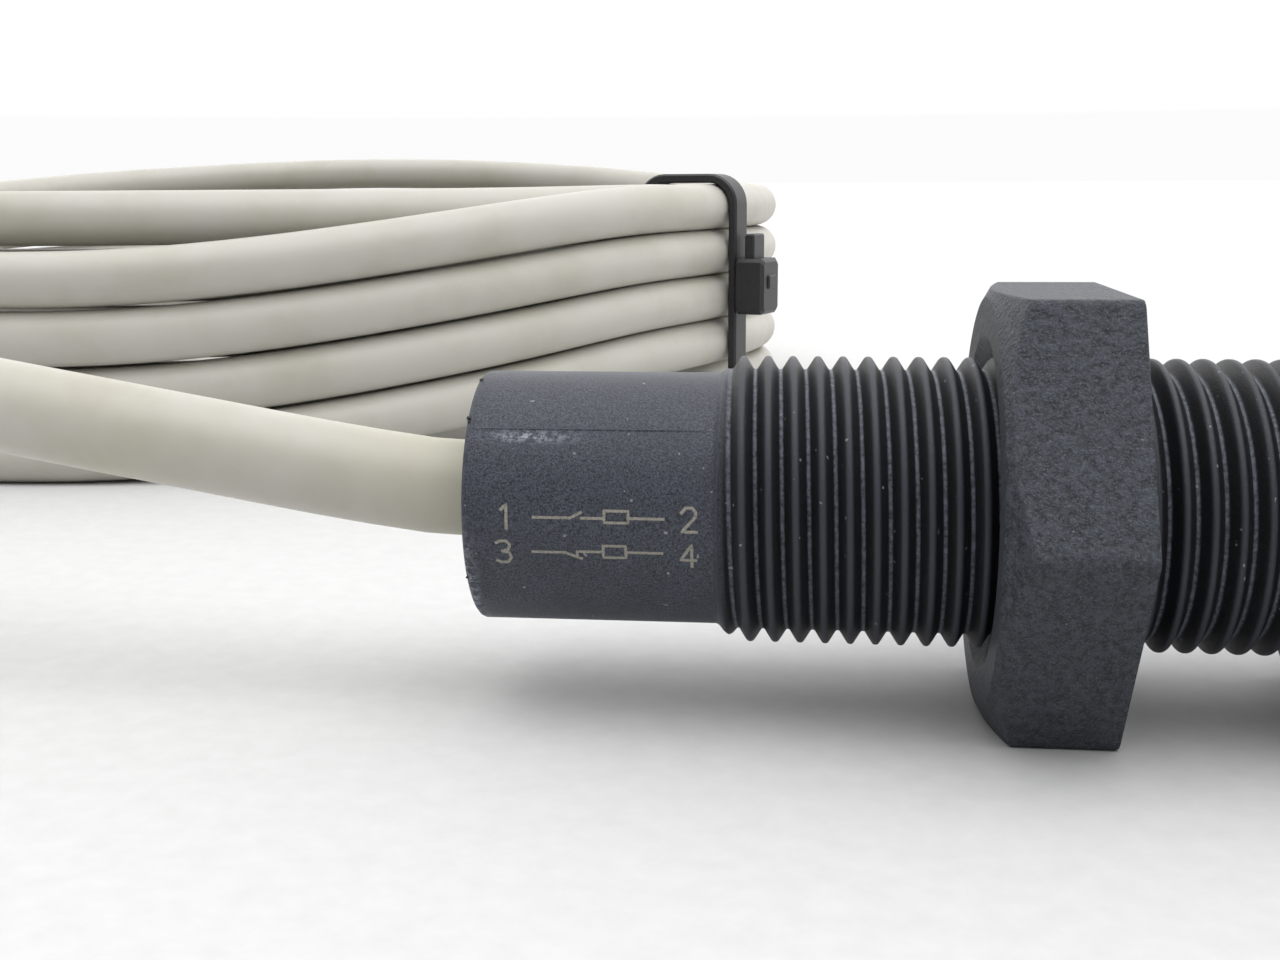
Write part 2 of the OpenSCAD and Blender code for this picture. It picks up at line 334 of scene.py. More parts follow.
def barrel_plastic():
    """Blue-black moulded plastic: grained on the plain part, scuffed beside the parting line and at the rear
    rim.
    Painted shade makes the thread near black, and painted highlights lie as paler lines along its crests and
    roots."""
    m, tree, shader, where = material("barrel_plastic", (0.03, 0.034, 0.045), 0.45)
    shader.inputs["Specular IOR Level"].default_value = 0.32
    grain = noise(tree, where, 13.0, 3, 0.75)
    clouds = noise(tree, where, 0.45, 3)
    base = ramp(tree, grain, [(0.38, (0.011, 0.013, 0.018)), (0.62, (0.084, 0.095, 0.121))])
    cloudy = ramp(tree, clouds, [(0.35, grey(0)), (0.7, grey(0.35))])
    plain = mix(tree, cloudy, base, (0.029, 0.033, 0.045))
    x, y, z = axis_parts(tree, where)
    height = math_node(tree, "SUBTRACT", z, AXIS_Z)
    squares = math_node(tree, "ADD", times(tree, y, y), times(tree, height, height))
    radius = math_node(tree, "SQRT", squares)
    # Painted highlights: pale lines along the thread's roots, broken up by noise, and fainter ones along its
    # crests
    broken = ramp(tree, noise(tree, where, 6.0, 4, 0.7), [(0.35, grey(0.15)), (0.62, grey(1))])
    root = times(tree, near(tree, radius, ROOT_R, 0.05), broken)
    crest = times(tree, near(tree, radius, CREST_R, 0.10), 0.8)
    # Painted shade: on the thread the plastic's colour is darkened to near black, for the shade that falls on
    # its flanks
    dark = ramp(tree, grain, [(0.35, (0.004, 0.004, 0.0055)), (0.7, (0.012, 0.013, 0.017))])
    # The painted highlight lines are laid over the painted shade
    dark = mix(tree, crest, dark, (0.042, 0.045, 0.056))
    dark = mix(tree, root, dark, (0.125, 0.135, 0.165))
    # The painted shade and the painted highlight lines take over from just beyond the plain part
    on_thread = tree.nodes.new("ShaderNodeMapRange")
    on_thread.inputs["From Min"].default_value = PLAIN_END + 0.1
    on_thread.inputs["From Max"].default_value = PLAIN_END + 0.6
    tree.links.new(x, on_thread.inputs["Value"])
    colour = mix(tree, on_thread.outputs["Result"], plain, dark)
    along = near(tree, x, -18.5, 2.4)
    across = near(tree, y, -4.05, 0.22)
    high = math_node(tree, "GREATER_THAN", z, AXIS_Z)
    scuff = times(tree, times(tree, along, across), high)
    rim = times(tree, near(tree, x, REAR_X, 0.6), near(tree, z, 5.4, 3.4))
    scratches = noise(tree, where, 4.0, 4, 0.75, (0.8, 1, 1))
    wear_grain = ramp(tree, scratches, [(0.46, grey(0)), (0.56, grey(1))])
    worn = times(tree, math_node(tree, "ADD", scuff, rim), wear_grain)
    colour = mix(tree, worn, colour, (0.30, 0.32, 0.38))
    dust = ramp(tree, noise(tree, where, 3.1, 1), [(0.765, grey(0)), (0.785, grey(0.7))])
    colour = mix(tree, dust, colour, (0.30, 0.31, 0.32))
    tree.links.new(colour, shader.inputs["Base Color"])
    set_roughness(tree, shader, grain, [(0.3, 0.36), (0.8, 0.56)])
    bump(tree, shader, noise(tree, where, 13.0, 3, 0.7), 0.035, 0.9)
    return m


def nut_plastic():
    """Charcoal plastic with a coarse etched mottle, fine pale specks of painted glint and a few dust specks.
    """
    m, tree, shader, where = material("nut_plastic", (0.03, 0.032, 0.038), 0.5)
    mottle = noise(tree, where, 3.2, 4, 0.7)
    fine = noise(tree, where, 12.0, 3, 0.7)
    base = ramp(tree, mottle, [(0.38, (0.024, 0.026, 0.032)), (0.62, (0.060, 0.067, 0.082))])
    # Painted glints: fine pale specks in the colour that stand for sparkle on the grain
    painted_glints = ramp(tree, fine, [(0.52, grey(0)), (0.64, grey(0.7))])
    base = mix(tree, painted_glints, base, (0.112, 0.124, 0.148))
    shader.inputs["Specular IOR Level"].default_value = 0.22
    dust = ramp(tree, noise(tree, where, 3.4, 1), [(0.785, grey(0)), (0.80, grey(0.5))])
    base = mix(tree, dust, base, (0.30, 0.29, 0.27))
    tree.links.new(base, shader.inputs["Base Color"])
    set_roughness(tree, shader, mottle, [(0.3, 0.36), (0.7, 0.54)])
    first = bump(tree, shader, mottle, 0.20, 1.0)
    bump(tree, shader, fine, 0.03, 0.8, first)
    return m


def cable_pvc():
    """Warm light grey soft PVC, yellower beside the housing and faintly soiled."""
    m, tree, shader, where = material("cable_pvc", (0.62, 0.60, 0.54), 0.45)
    soil = noise(tree, where, 0.12, 4, 0.6)
    fine = noise(tree, where, 3.0, 4, 0.6)
    tones = [(0.30, (0.440, 0.422, 0.362)), (0.52, (0.490, 0.476, 0.426)), (0.8, (0.515, 0.507, 0.470))]
    base = ramp(tree, soil, tones)
    x, y, z = axis_parts(tree, where)
    exit_tint = times(tree, near(tree, x, REAR_X + 1.5, 8.0), near(tree, y, 0.0, 6.0))
    base = mix(tree, exit_tint, base, (0.40, 0.38, 0.26))
    stain = times(tree, near(tree, x, -38.0, 5.0), near(tree, y, -1.0, 4.0))
    blotch = ramp(tree, noise(tree, where, 0.35, 3, 0.6), [(0.4, grey(0.15)), (0.65, grey(0.7))])
    base = mix(tree, times(tree, stain, blotch), base, (0.40, 0.37, 0.28))
    marks = ramp(tree, noise(tree, where, 0.8, 5, 0.7), [(0.66, grey(0)), (0.80, grey(0.3))])
    tree.links.new(mix(tree, marks, base, (0.38, 0.345, 0.275)), shader.inputs["Base Color"])
    set_roughness(tree, shader, fine, [(0.3, 0.38), (0.7, 0.52)])
    shader.inputs["Subsurface Weight"].default_value = 0.12
    shader.inputs["Subsurface Radius"].default_value = (0.8, 0.7, 0.5)
    shader.inputs["Subsurface Scale"].default_value = 0.6 * MM
    bump(tree, shader, fine, 0.008, 0.4)
    return m


def plain_plastic(name, dark, light, roughness, scale=6.0):
    """Finely grained plastic between two tones."""
    m, tree, shader, where = material(name, light, roughness)
    grain = noise(tree, where, scale, 4, 0.6)
    tree.links.new(ramp(tree, grain, [(0.3, dark), (0.7, light)]), shader.inputs["Base Color"])
    set_roughness(tree, shader, grain, [(0.3, roughness - 0.06), (0.7, roughness + 0.06)])
    bump(tree, shader, grain, 0.008, 0.5)
    return m


def metal(name, dark, light, roughness, scale=9.0, stretch=(1, 1, 1)):
    """Drawn or cast metal between two tones."""
    m, tree, shader, where = material(name, light, roughness)
    grain = noise(tree, where, scale, 4, 0.6, stretch)
    tree.links.new(ramp(tree, grain, [(0.3, dark), (0.7, light)]), shader.inputs["Base Color"])
    set_roughness(tree, shader, grain, [(0.3, roughness * 0.75), (0.7, roughness * 1.3)])
    shader.inputs["Metallic"].default_value = 1.0
    bump(tree, shader, grain, 0.006, 0.5)
    return m


def marking_ink():
    """Beige laser marking, slightly broken up."""
    m, tree, shader, where = material("laser_marking", (0.36, 0.34, 0.29), 0.7)
    grain = noise(tree, where, 14.0, 4, 0.7)
    tones = [(0.32, (0.115, 0.11, 0.10)), (0.5, (0.27, 0.255, 0.22)), (0.7, (0.35, 0.33, 0.28))]
    tree.links.new(ramp(tree, grain, tones), shader.inputs["Base Color"])
    bump(tree, shader, grain, 0.006, 0.5)
    return m


def board_mask():
    """Green solder mask over a faint woven glass cloth."""
    m, tree, shader, where = material("board_mask", (0.02, 0.16, 0.06), 0.3)
    weave = tree.nodes.new("ShaderNodeTexWave")
    weave.inputs["Scale"].default_value = 2.2
    weave.inputs["Distortion"].default_value = 0.6
    tree.links.new(where, weave.inputs["Vector"])
    tone = mix(tree, noise(tree, where, 1.2, 3), (0.012, 0.11, 0.045), (0.03, 0.19, 0.08))
    woven = mix(tree, times(tree, weave.outputs["Fac"], 0.25), tone, (0.05, 0.26, 0.11))
    tree.links.new(woven, shader.inputs["Base Color"])
    set_roughness(tree, shader, noise(tree, where, 5.0), [(0.3, 0.22), (0.7, 0.36)])
    bump(tree, shader, weave.outputs["Fac"], 0.01, 0.4)
    return m


def reed_glass():
    """Clear greenish glass, drawn along the tube."""
    m, tree, shader, where = material("reed_glass", (0.72, 0.92, 0.80), 0.04)
    shader.inputs["Transmission Weight"].default_value = 0.92
    shader.inputs["IOR"].default_value = 1.5
    drawn = noise(tree, where, 1.4, 3, 0.5, (0.2, 2, 2))
    tint = ramp(tree, drawn, [(0.3, (0.62, 0.88, 0.74)), (0.7, (0.80, 0.95, 0.86))])
    tree.links.new(tint, shader.inputs["Base Color"])
    set_roughness(tree, shader, drawn, [(0.3, 0.02), (0.7, 0.09)])
    bump(tree, shader, drawn, 0.01, 0.3)
    return m


def resistor_body():
    """Buff lacquer with four colour bands, and bare wire where the leads start."""
    m, tree, shader, where = material("resistor_lacquer", (0.58, 0.42, 0.24), 0.3)
    grain = noise(tree, where, 4.0, 4, 0.6)
    colour = ramp(tree, grain, [(0.3, (0.46, 0.32, 0.17)), (0.7, (0.60, 0.44, 0.26))])
    x, y, z = axis_parts(tree, where)
    bands = [
        (-1.15, (0.16, 0.06, 0.02)), (-0.5, (0.02, 0.02, 0.02)),
        (0.15, (0.55, 0.04, 0.03)), (1.1, (0.55, 0.42, 0.14)),
    ]
    for along, tint in bands:
        inside = math_node(tree, "GREATER_THAN", near(tree, x, RESISTOR_X + along, 0.34), 0.5)
        colour = mix(tree, inside, colour, tint)
    away = math_node(tree, "ABSOLUTE", math_node(tree, "SUBTRACT", x, RESISTOR_X))
    on_lead = math_node(tree, "GREATER_THAN", away, RESISTOR_END)
    colour = mix(tree, on_lead, colour, (0.62, 0.61, 0.58))
    tree.links.new(colour, shader.inputs["Base Color"])
    tree.links.new(on_lead, shader.inputs["Metallic"])
    set_roughness(tree, shader, grain, [(0.3, 0.24), (0.7, 0.36)])
    bump(tree, shader, grain, 0.01, 0.4)
    return m


BARREL = barrel_plastic()
NUT = nut_plastic()
PVC = cable_pvc()
MARKING = marking_ink()
TIE = plain_plastic("tie_nylon", (0.008, 0.008, 0.010), (0.022, 0.022, 0.026), 0.42)
RESIN = plain_plastic("potting_resin", (0.006, 0.006, 0.007), (0.016, 0.016, 0.018), 0.2, 1.5)
BOARD = board_mask()
GLASS = reed_glass()
SOLDER = metal("solder", (0.42, 0.43, 0.44), (0.66, 0.67, 0.68), 0.25)
NICKEL = metal("nickel_iron", (0.36, 0.37, 0.39), (0.56, 0.57, 0.59), 0.32, 6.0, (0.3, 3, 3))
BLADE = metal("plated_blade", (0.45, 0.38, 0.18), (0.70, 0.60, 0.32), 0.28, 6.0, (0.3, 3, 3))
FERRITE = metal("ferrite", (0.05, 0.05, 0.055), (0.13, 0.13, 0.14), 0.45)
LACQUER = resistor_body()
TINNED = metal("tinned_copper", (0.40, 0.38, 0.35), (0.70, 0.69, 0.66), 0.3)
CORE_COLOURS = {
    "white": ((0.74, 0.74, 0.72), (0.84, 0.84, 0.82)),
    "brown": ((0.11, 0.045, 0.020), (0.17, 0.075, 0.032)),
    "green": ((0.02, 0.20, 0.06), (0.035, 0.29, 0.10)),
    "yellow": ((0.70, 0.50, 0.03), (0.82, 0.63, 0.06)),
}
CORES = {k: plain_plastic(f"core_{k}", d, l, 0.4, 3.0) for k, (d, l) in CORE_COLOURS.items()}

# ---------------------------------------------------------------- camera, at the photograph's angle


EYE = (-7.708, -60.058, 21.244)
VIEW_YAW, VIEW_PITCH, VIEW_ROLL = -0.114855, -0.196884, -0.006038
LENS, SENSOR = 42.14, 36


def camera():
    """The camera. Yaw turns from +Y towards +X, pitch lifts the view and roll turns it, all in radians."""
    flat, rise = math.cos(VIEW_PITCH), math.sin(VIEW_PITCH)
    forward = Vector((math.sin(VIEW_YAW) * flat, math.cos(VIEW_YAW) * flat, rise))
    level = Vector((math.cos(VIEW_YAW), -math.sin(VIEW_YAW), 0))
    above = level.cross(forward)
    right = level * math.cos(VIEW_ROLL) + above * math.sin(VIEW_ROLL)
    up = above * math.cos(VIEW_ROLL) - level * math.sin(VIEW_ROLL)
    data = bpy.data.cameras.new("camera")
    data.lens = LENS
    data.sensor_width = SENSOR
    data.clip_start = 0.002
    data.clip_end = 10
    eye = bpy.data.objects.new("camera", data)
    turn = Matrix((right, up, -forward)).transposed().to_4x4()
    eye.matrix_world = Matrix.Translation(Vector(EYE) * MM) @ turn
    bpy.context.scene.collection.objects.link(eye)
    bpy.context.scene.camera = eye


# ---------------------------------------------------------------- cable


def smooth_between(a, b, c, d, t):
    """The point at share t from b to c, on a Catmull-Rom curve through all four."""
    return tuple(
        0.5 * (2 * q + (r - p) * t + (2 * p - 5 * q + 4 * r - s) * t * t + (3 * q - p - 3 * r + s) * t ** 3)
        for p, q, r, s in zip(a, b, c, d))


def route(points, steps=12):
    """Points along a rounded curve through the route's points, as part.scad rounds it."""
    last = len(points) - 1
    out = []
    for i in range(last):
        a, b, c, d = points[max(i - 1, 0)], points[i], points[i + 1], points[min(i + 2, last)]
        out += [smooth_between(a, b, c, d, k / steps) for k in range(steps)]
    return out + [points[last]]


def window(value, low, high):
    """Rises from 0 to 1 and falls back to 0 between low and high."""
    middle = (low + high) / 2
    return smoothstep(low, middle, value) * (1 - smoothstep(middle, high, value))


def coil_point(phi):
    """The cable's centre after it has turned phi degrees round the coil, clockwise seen from above."""
    turn, into = divmod(phi, 360)
    theta = 180 - into
    low = COIL_TOP - (COIL_LEVELS - 1) * TURN_GAP
    last_outer = COIL_LEVELS - 1
    if turn < last_outer or (turn == last_outer and theta > 0):
        radius = COIL_R
        steps_down = turn + (1 - smoothstep(-85, -30, theta) if turn < last_outer else 0)
        height = COIL_TOP - TURN_GAP * steps_down
    else:
        shift = 1 - smoothstep(-30, 0, theta) if turn == last_outer else 1
        radius = COIL_R - TURN_GAP * shift
        steps_up = max(0, turn - last_outer - 1) + (1 - smoothstep(0, 40, theta) if turn > last_outer else 0)
        height = low + TURN_GAP * steps_up
    # Away from the tie the turns stand a little apart, and they dip under the tie's grip
    ends = smoothstep(0, 50, phi) * (1 - smoothstep(COIL_END - 60, COIL_END - 5, phi))
    away = theta - TIE_ANGLE
    away = abs((away + 180) % 360 - 180)
    loose = smoothstep(15, 100, away)
    drift = 0.5 + 0.5 * math.sin(math.radians(phi) * 1.31 + 1.0) * math.sin(math.radians(phi) * 0.37 + 2.1)
    radius += (1.3 if radius > COIL_R - TURN_GAP / 2 else -1.3) * drift * loose * ends
    lift = window(theta, 5, 178)
    grip = 1 - smoothstep(4, 30, away)
    height = low + (height - low) * (1 + 0.22 * lift * ends - 0.045 * grip) + 0.92 * grip
    angle = math.radians(theta)
    return (COIL_X + radius * math.cos(angle), COIL_Y + radius * math.sin(angle), height)


# The coil ends where the tail starts, on top of the inner turns
COIL_END = 360 * (2 * COIL_LEVELS - 2) + 180 + 99.9


def cable_path():
    """The cable's centreline in millimetres, from the housing to its cut end, at even steps."""
    rough = route(RUN_POINTS)
    rough += [coil_point(phi) for phi in range(2, int(COIL_END) - 1, 2)]
    rough += route(TAIL_POINTS)
    points = [Vector(p) for p in rough]
    for _ in range(3):
        inner = [(a + 2 * b + c) / 4 for a, b, c in zip(points, points[1:], points[2:])]
        points = points[:6] + inner[5:-5] + points[-6:]
    even = [points[0]]
    step, carried = 2.4, 0.0
    for a, b in zip(points, points[1:]):
        long = (b - a).length
        while carried + long >= step and long > 0:
            a = a + (b - a) * ((step - carried) / long)
            long = (b - a).length
            carried = 0.0
            even.append(a)
        carried += long
    even[-1] = points[-1]
    return even


def tube_rings(path, radius, sides):
    """Rings round a path that don't twist along it."""
    rings = []
    side = Vector((0, 0, 1))
    for i, centre in enumerate(path):
        along = (path[min(i + 1, len(path) - 1)] - path[max(i - 1, 0)]).normalized()
        side = (side - along * side.dot(along)).normalized()
        other = along.cross(side)
        rings.append([
            centre + (side * math.cos(TAU * k / sides) + other * math.sin(TAU * k / sides)) * radius
            for k in range(sides)])
    return rings


def tube(shape, path, radius, sides):
    """A closed round tube along a path."""
    rings = tube_rings(path, radius, sides)
    shape.rings(rings)
    shape.cap(rings[0], flip=True)
    shape.cap(rings[-1])


def cable():
    """The whole cable, one tube along its path, standing for the CAD run, coil and tail."""
    shape = Shape()
    path = cable_path()
    tube(shape, path, CABLE_D / 2, 28)
    nodes = ("cable_run", "cable_coil", "cable_tail")
    piece = place(shape.build("cable"), "sensor", PVC, nodes)
    return piece


# Where each core lies in the cable's section, and which way it points beyond the jacket, in degrees
CORE_OFF = 0.62
CORE_PLACES = {
    "white": (-CORE_OFF, CORE_OFF), "brown": (CORE_OFF, CORE_OFF),
    "green": (-CORE_OFF, -CORE_OFF), "yellow": (CORE_OFF, -CORE_OFF),
}
FAN = {"white": -12, "brown": 12, "green": -4, "yellow": 4}


def core_end(colour):
    """One core beyond the jacket's cut end, and its tinned strands."""
    end = Vector(TAIL_POINTS[-1])
    y, z = CORE_PLACES[colour]
    turned = math.radians(FAN[colour])
    way = Vector((math.cos(turned), math.sin(turned), 0))
    root = end + Vector((0, y, z))
    tip = Vector((end.x, end.y + y, CORE_D / 2)) + way * CORE_OUT
    points = [root, root + Vector((1, 0, 0)), root + Vector((2, 0, 0)), tip - way * 8, tip]
    path = [Vector(p) for p in route([tuple(p) for p in points], 10)]
    shape = Shape()
    tube(shape, path, CORE_D / 2, 20)
    built = shape.build(f"core_end_{colour}")
    core = place(built, "sensor", CORES[colour], (f"end_core_{colour}",))
    strands = Shape()
    across = Vector((-way.y, way.x, 0))
    up = Vector((0, 0, 1))
    strand_r, lay_turns, steps = 0.1, 1.5, 24
    for k in range(7):
        # Six strands twisted round one
        r = 2 * strand_r if k else 0.0
        line = []
        for i in range(steps + 1):
            turn = TAU * (k / 6 + i / steps * lay_turns)
            middle = tip + way * (TINNED_LEN * i / steps)
            line.append(middle + (across * math.cos(turn) + up * math.sin(turn)) * r)
        tube(strands, line, strand_r, 8)
    built = strands.build(f"strands_{colour}")
    bare = place(built, "sensor", TINNED, ("tinned_ends",))
    return core, bare


# ---------------------------------------------------------------- inside the housing


def inner_wire(colour):
    """One core from the jacket's end, through the potting, to its pad."""
    y, z = CORE_PLACES[colour]
    z += AXIS_Z + EXIT_LIFT
    pad = (PAD_X, PAD_Y[colour], BOARD_TOP + 0.3)
    points = [(x, y, z) for x in (REAR_X, REAR_X + 8, REAR_X + 10, REAR_X + 10.8)]
    points += [(pad[0], pad[1], pad[2] + h) for h in (1, 0.5, 0)]
    shape = Shape()
    tube(shape, [Vector(p) for p in route(points, 10)], CORE_D / 2, 20)
    built = shape.build(f"inner_wire_{colour}")
    return place(built, "sensor", CORES[colour], (f"wire_{colour}",))


def board_tracks():
    """Tinned tracks on the board, from the four pads to the resistors and the reeds."""
    top = box_mm("circuit_board")[1].z
    width, thick, edge = 0.3, 0.024, 0.006
    up = Vector((0, 0, 1))
    shape = Shape()
    for side in (-1, 1):
        reed = REED_Y * side
        near_pad, far_pad, outer = 0.9 * side, 2.7 * side, 3.2 * side
        runs = [
            [(PAD_X, near_pad), (PAD_X + 1.6, near_pad), (PAD_X + 2.0, reed), (RESISTOR_X - 2.5, reed)],
            [(RESISTOR_X + 2.5, reed), (4.8, reed)],
            [(PAD_X, far_pad), (PAD_X + 1.2, outer), (16.2, outer), (17.2, 2.2 * side), (17.2, reed)],
        ]
        for run in runs:
            for i, (start, end) in enumerate(zip(run, run[1:])):
                start, end = Vector(start), Vector(end)
                along = (end - start).normalized()
                middle = (start + end) / 2
                axes = (Vector((along.x, along.y, 0)), Vector((-along.y, along.x, 0)), up)
                # Each stretch lies a little higher than the last, so that no two tops coincide
                centre = Vector((middle.x, middle.y, top + thick / 2 + 0.003 * i))
                block(shape, centre, axes, ((end - start).length + width, width, thick), edge)
    return place(shape.build("board_tracks", 40), "sensor", SOLDER)


# The CAD nodes that stay, and their finishes
CAD_FINISHES = {
    "end_cap": BARREL, "potting": RESIN, "cable_jacket_end": PVC, "circuit_board": BOARD,
    "solder_joints": SOLDER, "bias_magnet": FERRITE, "no_resistor": LACQUER, "nc_resistor": LACQUER,
    "no_reed_glass": GLASS, "no_reed_lead": NICKEL, "no_reed_fixed_blade": NICKEL,
    "no_reed_moving_blade": BLADE, "nc_reed_glass": GLASS, "nc_reed_lead": NICKEL,
    "nc_reed_fixed_blade": NICKEL, "nc_reed_moving_blade": BLADE,
}


def finish_cad_nodes():
    """Gives the CAD nodes that stay their materials."""
    for name, finish in CAD_FINISHES.items():
        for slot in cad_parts[name].material_slots:
            slot.material = finish


# ---------------------------------------------------------------- tie


def rounded_loop(low_r, high_r, low_z, high_z, corner, steps=8):
    """Points of a rectangle with round corners, in the plane of the coil's section."""
    out = []
    corners = [(high_r, low_z, -90), (high_r, high_z, 0), (low_r, high_z, 90), (low_r, low_z, 180)]
    for r, z, start in corners:
        cr = r - corner if r == high_r else r + corner
        cz = z - corner if z == high_z else z + corner
        for k in range(steps + 1):
            a = math.radians(start + 90 * k / steps)
            out.append((cr + corner * math.cos(a), cz + corner * math.sin(a)))
    return out


def block(shape, centre, axes, size, bevel):
    """A box with chamfered edges, along three given directions."""
    half = [s / 2 for s in size]
    layers = []
    for w, inset in ((-half[2], bevel), (-half[2] + bevel, 0), (half[2] - bevel, 0), (half[2], bevel)):
        u, v = half[0] - inset, half[1] - inset
        flat = [(u - bevel, v), (-u + bevel, v), (-u, v - bevel), (-u, -v + bevel),
                (-u + bevel, -v), (u - bevel, -v), (u, -v + bevel), (u, v - bevel)]
        layers.append([centre + axes[0] * p + axes[1] * q + axes[2] * w for p, q in flat])
    shape.rings(layers)
    shape.cap(layers[0], flip=True)
    shape.cap(layers[-1])


def tie():
    """The cable tie: its strap round the coil, its head outside and the cut end of the strap above it."""
    angle = math.radians(TIE_ANGLE)
    out = Vector((math.cos(angle), math.sin(angle), 0))
    across = Vector((-math.sin(angle), math.cos(angle), 0))
    up = Vector((0, 0, 1))
    centre = Vector((COIL_X, COIL_Y, 0))
    inner_r, outer_r = COIL_R - TURN_GAP - TIE_REACH, COIL_R + TIE_REACH
    low, high = TIE_T + 0.05, TIE_TOP
    shape = Shape()
    inside = rounded_loop(inner_r, outer_r, low, high, TIE_CORNER)
    outside = rounded_loop(
        inner_r - TIE_T, outer_r + TIE_T, low - TIE_T, high + TIE_T, TIE_CORNER + TIE_T)
    half, edge = TIE_W / 2, 0.18
    rings = []
    for (r0, z0), (r1, z1) in zip(inside, outside):
        a, b = centre + out * r0 + up * z0, centre + out * r1 + up * z1
        thick = b - a
        rings.append([
            a + across * (half - edge), a + across * half + thick * 0.2, a + across * half + thick * 0.8,
            a + across * (half - edge) + thick, a - across * (half - edge) + thick,
            a - across * half + thick * 0.8, a - across * half + thick * 0.2, a - across * (half - edge)])
    rings.append(rings[0])
    shape.rings(rings)
    head = centre + out * (outer_r + TIE_T + 1.45) + up * 12
    block(shape, head, (across, up, out), (3.9, 4.9, 2.8), 0.3)
    block(shape, head + out * 0.9 + up * 0.4, (across, up, out), (1.7, 1.2, 1.4), 0.12)
    stub = head + up * 3.4 - out * 0.2
    block(shape, stub, (across, up, out), (2.5, 2.4, 0.9), 0.12)
    for k in range(4):
        block(shape, stub + up * (k * 0.5 - 0.75) - out * 0.5, (across, up, out), (1.5, 0.22, 0.3), 0.05)
    return place(shape.build("cable_tie", 25), "sensor", TIE, ("coil_tie",))


# ---------------------------------------------------------------- housing and nuts

COLUMNS = 216
PARTING = [math.radians(PARTING_ANGLE), math.radians(PARTING_ANGLE) + math.pi]
BARREL_ANGLES = sorted(
    {round(TAU * k / COLUMNS, 6) for k in range(COLUMNS)}
    | {round(p + math.radians(d), 6) for p in PARTING for d in (-2.2, -1.2, -0.7, -0.3, 0.0, 0.3, 0.7, 1.2)})
HEX_CORNERS = [math.pi / 6 + math.pi / 3 * k for k in range(6)]
NUT_ANGLES = sorted(
    {round(TAU * k / COLUMNS, 6) for k in range(COLUMNS)}
    | {round(c + math.radians(d), 6) for c in HEX_CORNERS for d in (-1.2, -0.8, -0.4, 0.4, 0.8, 1.2)})


def parting_ridge(angle):
    """The faint ridge that the mould left along the barrel."""
    away = min(abs(angle - p) for p in PARTING)
    return 0.035 * max(0.0, 1 - away / math.radians(0.7))


def barrel_radius(x, height):
    """The barrel's outside, where height is the thread's share from root to crest."""
    base = PLAIN_R + (ROOT_R - PLAIN_R) * smoothstep(PLAIN_END, PLAIN_END + 0.4, x)
    fade = smoothstep(PLAIN_END, PLAIN_END + 1.0, x)
    end = 1 - smoothstep(FRONT_X - 1.6, FRONT_X - 0.5, x)
    return base + (CREST_R - ROOT_R) * height * fade * end


def ring(x, radius, angles):
    """A circle of points round the barrel."""
    return [on_barrel(x, a, radius) for a in angles]


def housing():
    """The barrel: plain rear part, right-hand thread, closed front and the bore for what it holds."""
    shape = Shape()
    angles = BARREL_ANGLES
    rear = [(REAR_X, CHAMBER_R), (REAR_X, PLAIN_R - 0.18), (REAR_X + 0.03, PLAIN_R - 0.10),
            (REAR_X + 0.09, PLAIN_R - 0.035), (REAR_X + 0.18, PLAIN_R)]
    plain = [ring(x, r, angles) for x, r in rear]
    stations = 14
    for k in range(1, stations + 1):
        x = rear[-1][0] + (PLAIN_END - rear[-1][0]) * k / stations
        fade = 1 - smoothstep(PLAIN_END - 0.6, PLAIN_END, x)
        plain.append([on_barrel(x, a, PLAIN_R + parting_ridge(a) * fade) for a in angles])
    shape.rings(plain)
    front = FRONT_X - 0.3
    threaded_skin(shape, angles, PLAIN_END, front, barrel_radius)
    nose = [(front, ROOT_R), (FRONT_X - 0.22, ROOT_R), (FRONT_X - 0.06, ROOT_R - 0.14),
            (FRONT_X, ROOT_R - 0.25), (FRONT_X, ROOT_R - 2.0), (FRONT_X, 0.4)]
    shape.rings([ring(x, r, angles) for x, r in nose])
    shape.cap(ring(FRONT_X, 0.4, angles))
    inner = FRONT_X - FACE_WALL
    bore = [(REAR_X, CHAMBER_R), (inner, CHAMBER_R), (inner, 0.4)]
    shape.rings([ring(x, r, angles) for x, r in bore])
    shape.cap(ring(inner, 0.4, angles))
    return place(shape.build("barrel", 28), "sensor", BARREL, ("housing",))


def hexagon_radius(angle, across_flats, corner):
    """Outline of the hexagon, its flats at the top and bottom and its corners rounded."""
    away = abs((angle + math.pi / 6) % (math.pi / 3) - math.pi / 6)
    flat = across_flats / 2
    corner_at = flat / math.cos(math.pi / 6) - corner / math.cos(math.pi / 6)
    turn = math.pi / 6 - away
    sharp = flat / math.cos(away)
    # Where the ray meets the rounding's circle, centred on the line to the corner
    root = corner ** 2 - (corner_at * math.sin(turn)) ** 2
    if root <= 0:
        return sharp
    return min(sharp, corner_at * math.cos(turn) + math.sqrt(root))


